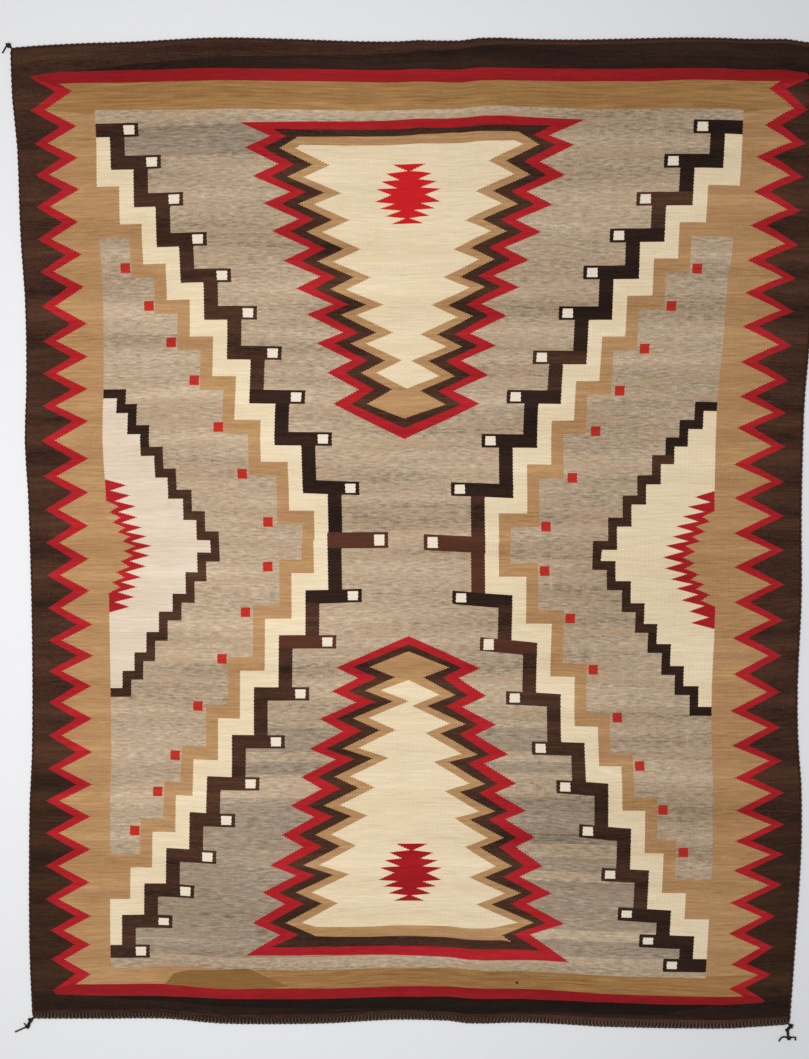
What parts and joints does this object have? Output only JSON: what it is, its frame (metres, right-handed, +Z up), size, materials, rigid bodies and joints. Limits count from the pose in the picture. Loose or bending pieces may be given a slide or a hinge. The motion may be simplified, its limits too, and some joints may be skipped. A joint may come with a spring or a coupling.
{
  "type": "navajo rug",
  "caption": "Flat handwoven wool rug with twined edge cords and knotted corner ties, in a stepped and serrated geometric design inside a zigzag border.",
  "frame": {"origin": "on the floor under the middle of the whole rug, ties included, at the height of its underside", "axes": "+Z up out of the rug's face, +Y along the warp towards the upper end of the design, +X across along the weft to the right of the design"},
  "size_m": [1.2798, 1.5642, 0.0066],
  "materials": {
    "woven_wool": "handspun wool tapestry weave in heather grey, cream, tan, red and dark brown, matt",
    "edge_cord_wool": "two-ply twined dark brown wool cord, matt",
    "tie_wool": "knotted near-black wool yarn, matt"
  },
  "bodies": {
    "root": {"rug_body": "woven_wool", "end_cord_top": "edge_cord_wool", "end_cord_bottom": "edge_cord_wool", "side_cord_left": "edge_cord_wool", "side_cord_right": "edge_cord_wool", "corner_tie_top_left": "tie_wool", "corner_tie_top_right": "tie_wool", "corner_tie_bottom_left": "tie_wool", "corner_tie_bottom_right": "tie_wool"}
  },
  "joints": []
}
